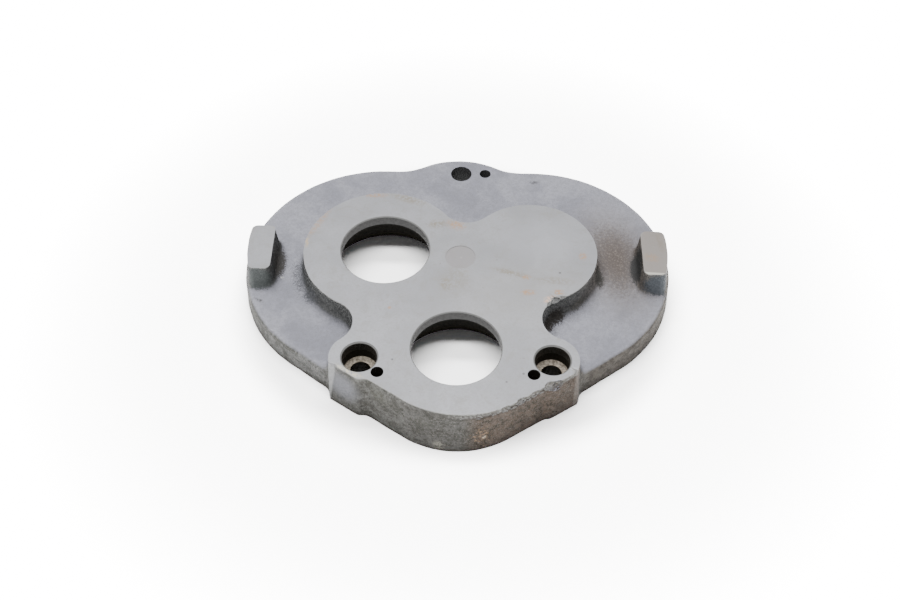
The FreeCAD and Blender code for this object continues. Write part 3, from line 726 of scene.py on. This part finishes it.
def cast_material():
    """Sand-cast skin: grey ledge, darker mottled walls partly as painted shade, brown on the right,
    dirt and painted shade in the corners.
    """
    g = Graph("cast_skin")
    place = g.place()
    z = g.parts(place)[2]
    normal = g.nodes.new("ShaderNodeNewGeometry").outputs["Normal"]
    rise = g.parts(normal)[2]
    up = g.times(g.ramp(rise, 0.45, 0.97), g.ramp(z, 16, 14))
    mottle = g.noise(place, 0.4, 5, 0.75)
    grain = g.noise(place, 1.5, 5, 0.8)
    sand = g.ramp(g.noise(place, 0.85, 4, 0.85), 0.41, 0.60)
    wall = wall_tone(g, place, mottle, grain, sand)
    wall = browned_and_shaded(g, place, wall, mottle, sand)
    wall = worn_and_lit_edges(g, place, wall, mottle, grain, rise)
    # level faces take the ledge tone, upright walls the far darker wall tone: part the skin's own
    # tone, part painted shade
    colour = g.mix(up, wall, ledge_tone(g, place, sand))
    colour = brown_zone(g, place, colour)
    colour = corner_shade_and_dirt(g, place, colour)
    colour = stained(g, place, colour, CAST_STAINS)
    colour = ear_facet_and_lit_strips(g, place, colour)
    relief = g.math("ADD", g.times(grain, 0.8), mottle)
    rough = g.ramp(mottle, 0.3, 0.7, 0.55, 0.72)
    g.finish(colour, rough, 0.0, g.bump(relief, 0.7, 0.0005), 0.03)
    return g.material


def hole_material():
    """Bored walls: clean lips at the top, seats below painted near black as shade."""
    g = Graph("bored_wall")
    place = g.place()
    x, y, z = g.parts(place)
    fine = g.noise(place, 1.2, 6, 0.75)
    rings = g.noise(g.times(z, 3.0), 1.0, 2, 0.5)
    light = g.mix(g.ramp(fine, 0.3, 0.7), BORE_DARK, BORE_LIGHT)
    # painted shade: the seats, and the holes at the ears all the way up, are near black
    dark = g.mix(g.ramp(fine, 0.3, 0.7), SEAT_SHADE_DARK, SEAT_SHADE_LIGHT)
    at_ear = g.times(g.ramp(g.math("ABSOLUTE", x), 20, 21), g.ramp(y, -25, -26))
    lip = g.times(g.ramp(z, 14.3, 14.45), g.ramp(at_ear, 0, 1, 1, 0))
    colour = g.mix(lip, dark, light)
    broken = g.ramp(z, 17.45, 17.65)
    colour = g.mix(g.times(broken, 0.8), colour, WORN_METAL)
    floor = g.times(g.ramp(z, 10.9, 10.97), g.ramp(z, 11.1, 11.03))
    ring = g.mix(g.ramp(fine, 0.4, 0.6), RECESS_BRIGHT, RECESS_DULL)
    colour = g.mix(floor, colour, ring)
    colour = g.mix(g.ramp(y, 40, 42), colour, BACK_HOLE)
    sheen = g.ramp(z, 14.3, 14.45, 0.05, 0.3)
    g.finish(colour, 0.5, 0.0, g.bump(rings, 0.15, 0.00005), sheen)
    return g.material


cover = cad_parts["end_cover"]
skin = make_skin(cover)
for build in (cast_material, machined_material, hole_material):
    skin.data.materials.append(build())
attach(skin, "root")
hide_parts("end_cover")


# ---------------------------------------------------------------- floor, light, camera
# Lengths in this section are in metres; the floor's pattern, the lens and the sensor are in
# millimetres.
# half the floor's width
FLOOR_REACH = 6.0
# the floor lies this far below the casting, so that the two faces never share one plane
FLOOR_DROP = 0.1 * MM
LAMP_LENGTH = 1.0
LAMP_WIDTH = 0.16
LAMP_POWER = 35
WORLD_STRENGTH = 0.4
LENS = 49.43
SENSOR = 36
CAMERA_ROLL = math.radians(-0.24)


def floor_material():
    """White paper that glows from some way off the casting, as an overexposed backdrop does."""
    g = Graph("floor")
    place = g.place()
    soft = g.noise(place, 0.01, 2, 0.5)
    colour = g.mix(soft, PAPER_DULL, PAPER_BRIGHT)
    near = g.ramp(g.blob(place, 0, 0, 0, 84, 72, 0, 0.75), 0, 1, 5.5, 0.0)
    far = g.ramp(g.blob(place, 0, 0, 0, 220, 205, 0, 0.3), 0, 1, 12.0, 0.0)
    shader = g.finish(colour, 0.85, specular=0.2)
    shader.inputs["Emission Color"].default_value = GLOW
    g.put(shader.inputs["Emission Strength"], g.math("ADD", near, far))
    return g.material


def make_floor():
    mesh = bpy.data.meshes.new("floor")
    reach = FLOOR_REACH
    corners = [(-reach, -reach), (reach, -reach), (reach, reach), (-reach, reach)]
    mesh.from_pydata([(x, y, -FLOOR_DROP) for x, y in corners], [], [(0, 1, 2, 3)])
    floor = bpy.data.objects.new("floor", mesh)
    mesh.materials.append(floor_material())
    bpy.context.scene.collection.objects.link(floor)


def strip_light(name, place):
    """A soft box hung level over the casting, long from side to side."""
    lamp = bpy.data.lights.new(name, "AREA")
    lamp.shape = "RECTANGLE"
    lamp.size = LAMP_LENGTH
    lamp.size_y = LAMP_WIDTH
    lamp.energy = LAMP_POWER
    item = bpy.data.objects.new(name, lamp)
    item.location = place
    bpy.context.scene.collection.objects.link(item)


make_floor()
world = bpy.data.worlds.new("studio")
bpy.context.scene.world = world
world.use_nodes = True
sky = world.node_tree.nodes["Background"]
sky.inputs["Color"].default_value = WHITE
sky.inputs["Strength"].default_value = WORLD_STRENGTH
strip_light("front_lamp", (-0.12, -0.2, 1.2))
strip_light("back_lamp", (-0.12, 0.32, 1.2))

camera_data = bpy.data.cameras.new("camera")
camera_data.lens = LENS
camera_data.sensor_width = SENSOR
camera = bpy.data.objects.new("camera", camera_data)
bpy.context.scene.collection.objects.link(camera)
camera_place = Vector((5.34, -267.8, 322.2)) * MM
camera_aim = Vector((-1.78, -14.43, 18.0)) * MM
facing = (camera_aim - camera_place).to_track_quat("-Z", "Y")
camera.location = camera_place
camera.rotation_mode = "QUATERNION"
camera.rotation_quaternion = facing @ Euler((0, 0, CAMERA_ROLL)).to_quaternion()
bpy.context.scene.camera = camera
